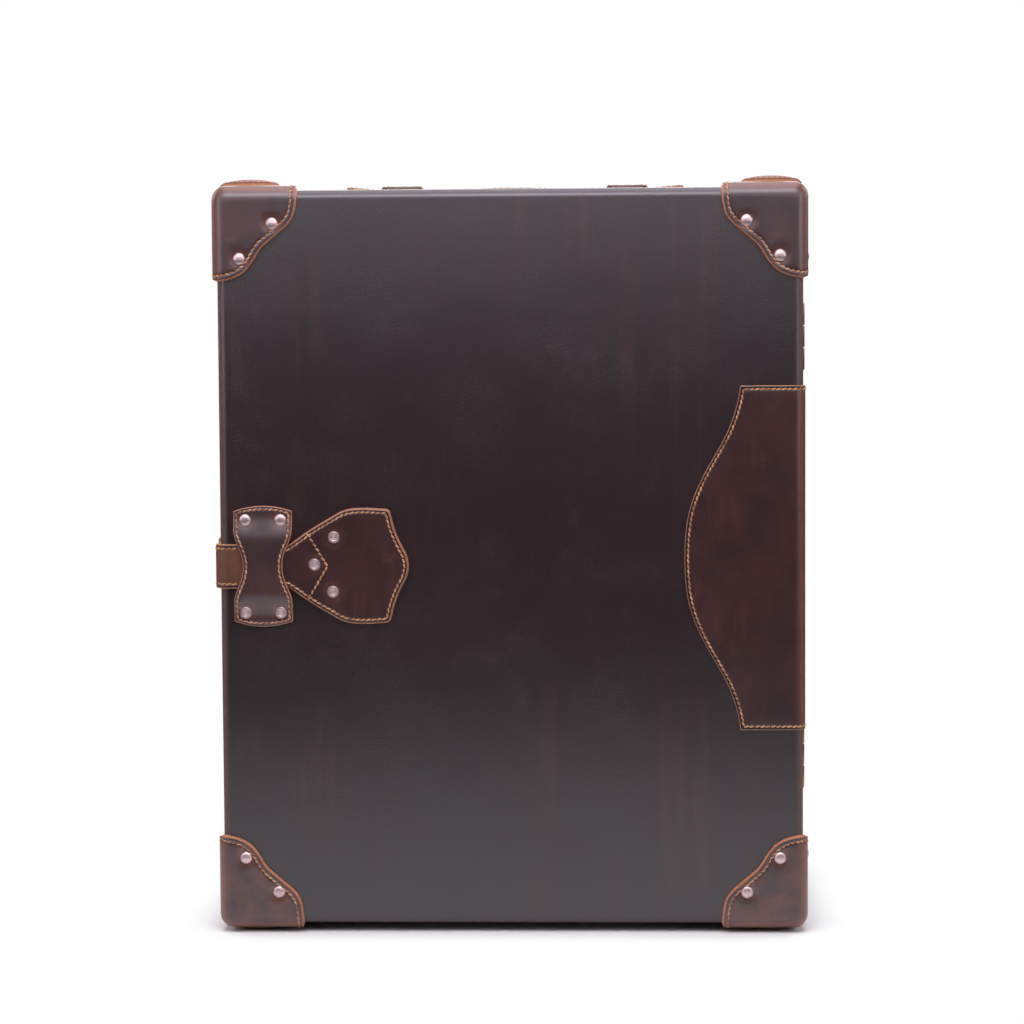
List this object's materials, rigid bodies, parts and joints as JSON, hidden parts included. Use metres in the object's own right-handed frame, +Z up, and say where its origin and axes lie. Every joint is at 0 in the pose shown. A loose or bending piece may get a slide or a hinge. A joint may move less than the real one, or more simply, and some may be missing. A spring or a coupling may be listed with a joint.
{
  "type": "wardrobe trunk",
  "caption": "Upright leather-covered wardrobe trunk that opens like a book, with stitched corner guards, a strap latch, drawers on one side and a hanging rail on the other.",
  "frame": {"origin": "on the ground under the middle of the closed trunk", "axes": "+Z up, the lid's face looks along -Y, the hinges are on the +X side"},
  "size_m": [0.4915, 0.3137, 0.6178],
  "materials": {
    "board_wood": "plain plywood",
    "trunk_leather": "semi-gloss dark brown, worn along the edges",
    "trim_leather": "polished, stitched along the edges",
    "strap_leather": "satin, cut edges tan",
    "lining_cloth": "plain cotton",
    "rivet_metal": "polished nickel",
    "steel": "satin",
    "drawer_wood": "varnished"
  },
  "bodies": {
    "back_half": {"back_boards": "board_wood", "back_leather": "trunk_leather", "back_lining": "lining_cloth", "back_guards_left": "trim_leather", "back_guards_right": "trim_leather", "back_gussets": "trim_leather", "back_rivets": "rivet_metal", "back_hinge_leaves": "steel", "back_hinge_screws": "steel", "back_spine_patch": "trim_leather", "rim_frame": "board_wood", "side_magnet": "steel", "hinge_pins": "steel", "handle_keepers": "trim_leather", "drawer_case": "drawer_wood"},
    "lid": {"lid_boards": "board_wood", "lid_leather": "trunk_leather", "lid_lining": "lining_cloth", "lid_guards_left": "trim_leather", "lid_guards_right": "trim_leather", "lid_gussets": "trim_leather", "lid_rivets": "rivet_metal", "lid_hinge_leaves": "steel", "lid_hinge_screws": "steel", "lid_spine_patch": "trim_leather", "latch_keeper": "trim_leather", "latch_shield_backing": "trim_leather", "latch_shield_face": "trim_leather", "latch_strap": "strap_leather", "latch_strap_loop": "strap_leather", "rail_block": "board_wood", "rail_channel": "steel"},
    "strap_tail": {"strap_tail": "strap_leather", "strap_tail_button": "rivet_metal"},
    "handle_grip": {"handle_grip": "strap_leather"},
    "handle_neck_left": {"handle_neck_left": "strap_leather"},
    "handle_neck_right": {"handle_neck_right": "strap_leather"},
    "handle_tail_left": {"handle_tail_left": "strap_leather"},
    "handle_tail_right": {"handle_tail_right": "strap_leather"},
    "trolley": {"hanger_trolley": "steel", "hanger_rod": "steel"},
    "drawer_bottom": {"drawer_box_bottom": "drawer_wood", "drawer_front_bottom": "drawer_wood", "drawer_pull_bottom": "steel"},
    "drawer_middle": {"drawer_box_middle": "drawer_wood", "drawer_front_middle": "drawer_wood", "drawer_pull_middle": "steel"},
    "drawer_top": {"drawer_box_top": "drawer_wood", "drawer_front_top": "drawer_wood", "drawer_pull_top": "steel"},
    "hanger_1": {"hanger_wood_1": "drawer_wood", "hanger_hook_1": "steel"},
    "hanger_2": {"hanger_wood_2": "drawer_wood", "hanger_hook_2": "steel"},
    "hanger_3": {"hanger_wood_3": "drawer_wood", "hanger_hook_3": "steel"}
  },
  "joints": [
    {"name": "lid_hinge", "type": "hinge", "parent": "back_half", "child": "lid", "pos_m": [0.2425, -0.025, 0.3072], "axis": [0, 0, 1], "range_deg": [0, 180]},
    {"name": "strap_tail_bend", "type": "hinge", "parent": "lid", "child": "strap_tail", "pos_m": [-0.2399, -0.033, 0.3022], "axis": [0, 0, 1], "range_deg": [0, 95]},
    {"name": "handle_lift", "type": "slide", "parent": "back_half", "child": "handle_grip", "axis": [0, 0, 1], "range_m": [0, 0.018]},
    {"name": "handle_neck_left_bend", "type": "hinge", "parent": "handle_grip", "child": "handle_neck_left", "pos_m": [-0.041, 0.011, 0.61075], "axis": [0, -1, 0], "range_deg": [0, 32.5]},
    {"name": "handle_tail_left_bend", "type": "hinge", "parent": "handle_neck_left", "child": "handle_tail_left", "pos_m": [-0.075, 0.011, 0.61075], "axis": [0, 1, 0], "range_deg": [0, 32.5]},
    {"name": "handle_neck_right_bend", "type": "hinge", "parent": "handle_grip", "child": "handle_neck_right", "pos_m": [0.041, 0.011, 0.61075], "axis": [0, 1, 0], "range_deg": [0, 32.5]},
    {"name": "handle_tail_right_bend", "type": "hinge", "parent": "handle_neck_right", "child": "handle_tail_right", "pos_m": [0.075, 0.011, 0.61075], "axis": [0, -1, 0], "range_deg": [0, 32.5]},
    {"name": "drawer_bottom_slide", "type": "slide", "parent": "back_half", "child": "drawer_bottom", "axis": [0, -1, 0], "range_m": [0, 0.11]},
    {"name": "drawer_middle_slide", "type": "slide", "parent": "back_half", "child": "drawer_middle", "axis": [0, -1, 0], "range_m": [0, 0.11]},
    {"name": "drawer_top_slide", "type": "slide", "parent": "back_half", "child": "drawer_top", "axis": [0, -1, 0], "range_m": [0, 0.11]},
    {"name": "trolley_slide", "type": "slide", "parent": "lid", "child": "trolley", "axis": [0, 1, 0], "range_m": [0, 0.07]},
    {"name": "hanger_1_swing", "type": "hinge", "parent": "trolley", "child": "hanger_1", "pos_m": [0, -0.11833, 0.562], "axis": [0, 1, 0], "range_deg": [-8, 8]},
    {"name": "hanger_2_swing", "type": "hinge", "parent": "trolley", "child": "hanger_2", "pos_m": [0, -0.0854, 0.562], "axis": [0, 1, 0], "range_deg": [-8, 8]},
    {"name": "hanger_3_swing", "type": "hinge", "parent": "trolley", "child": "hanger_3", "pos_m": [0, -0.05247, 0.562], "axis": [0, 1, 0], "range_deg": [-8, 8]}
  ],
  "couplings": [
    {"joint": "handle_neck_left_bend", "follows": "handle_lift", "rad_per_m": 30.995},
    {"joint": "handle_tail_left_bend", "follows": "handle_lift", "rad_per_m": 30.995},
    {"joint": "handle_neck_right_bend", "follows": "handle_lift", "rad_per_m": 30.995},
    {"joint": "handle_tail_right_bend", "follows": "handle_lift", "rad_per_m": 30.995}
  ]
}
